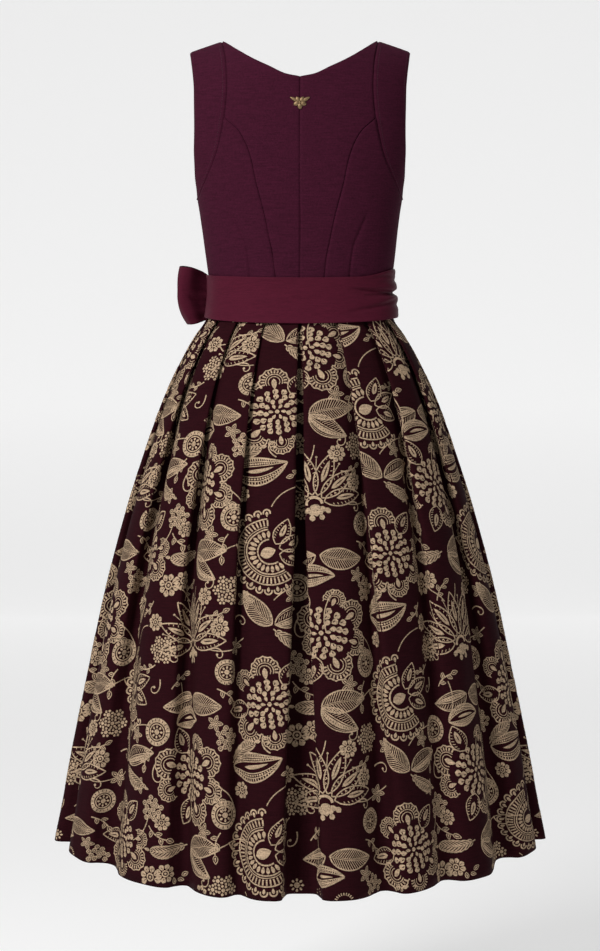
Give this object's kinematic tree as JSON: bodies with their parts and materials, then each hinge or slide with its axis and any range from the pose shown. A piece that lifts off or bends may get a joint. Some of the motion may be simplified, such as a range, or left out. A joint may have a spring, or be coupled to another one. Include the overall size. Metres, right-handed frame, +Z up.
{
  "type": "dirndl dress",
  "caption": "Sleeveless dirndl dress in its worn shape, with a panelled bodice, a pleated midi skirt, a sash tied in a bow at the left front and a small metal blossom on the back.",
  "frame": {"origin": "where the wearer holds the dress: midway between the two shoulder seams, at their middle height", "axes": "+Z up, +Y the way the wearer faces, so +X is the wearer's right"},
  "size_m": [0.7416, 0.6013, 1.2136],
  "materials": {
    "bodice_cloth": "fine matte wool-like weave, dark plum",
    "skirt_cloth": "jacquard, dark aubergine ground with a cream figure",
    "sash_cloth": "taffeta with a soft sheen, dark burgundy",
    "pin_metal": "antique brass, brushed"
  },
  "bodies": {
    "root": {"back_centre_left": "bodice_cloth", "back_centre_right": "bodice_cloth", "back_side_left": "bodice_cloth", "back_side_right": "bodice_cloth", "back_shoulder_left": "bodice_cloth", "back_shoulder_right": "bodice_cloth", "front_centre_left": "bodice_cloth", "front_centre_right": "bodice_cloth", "front_side_left": "bodice_cloth", "front_side_right": "bodice_cloth", "skirt_back": "skirt_cloth", "skirt_front": "skirt_cloth", "sash": "sash_cloth", "bow_knot": "sash_cloth", "bow_loop_back": "sash_cloth", "bow_loop_front": "sash_cloth", "bow_tail_back": "sash_cloth", "bow_tail_front": "sash_cloth", "blossom_pin": "pin_metal"}
  },
  "joints": []
}
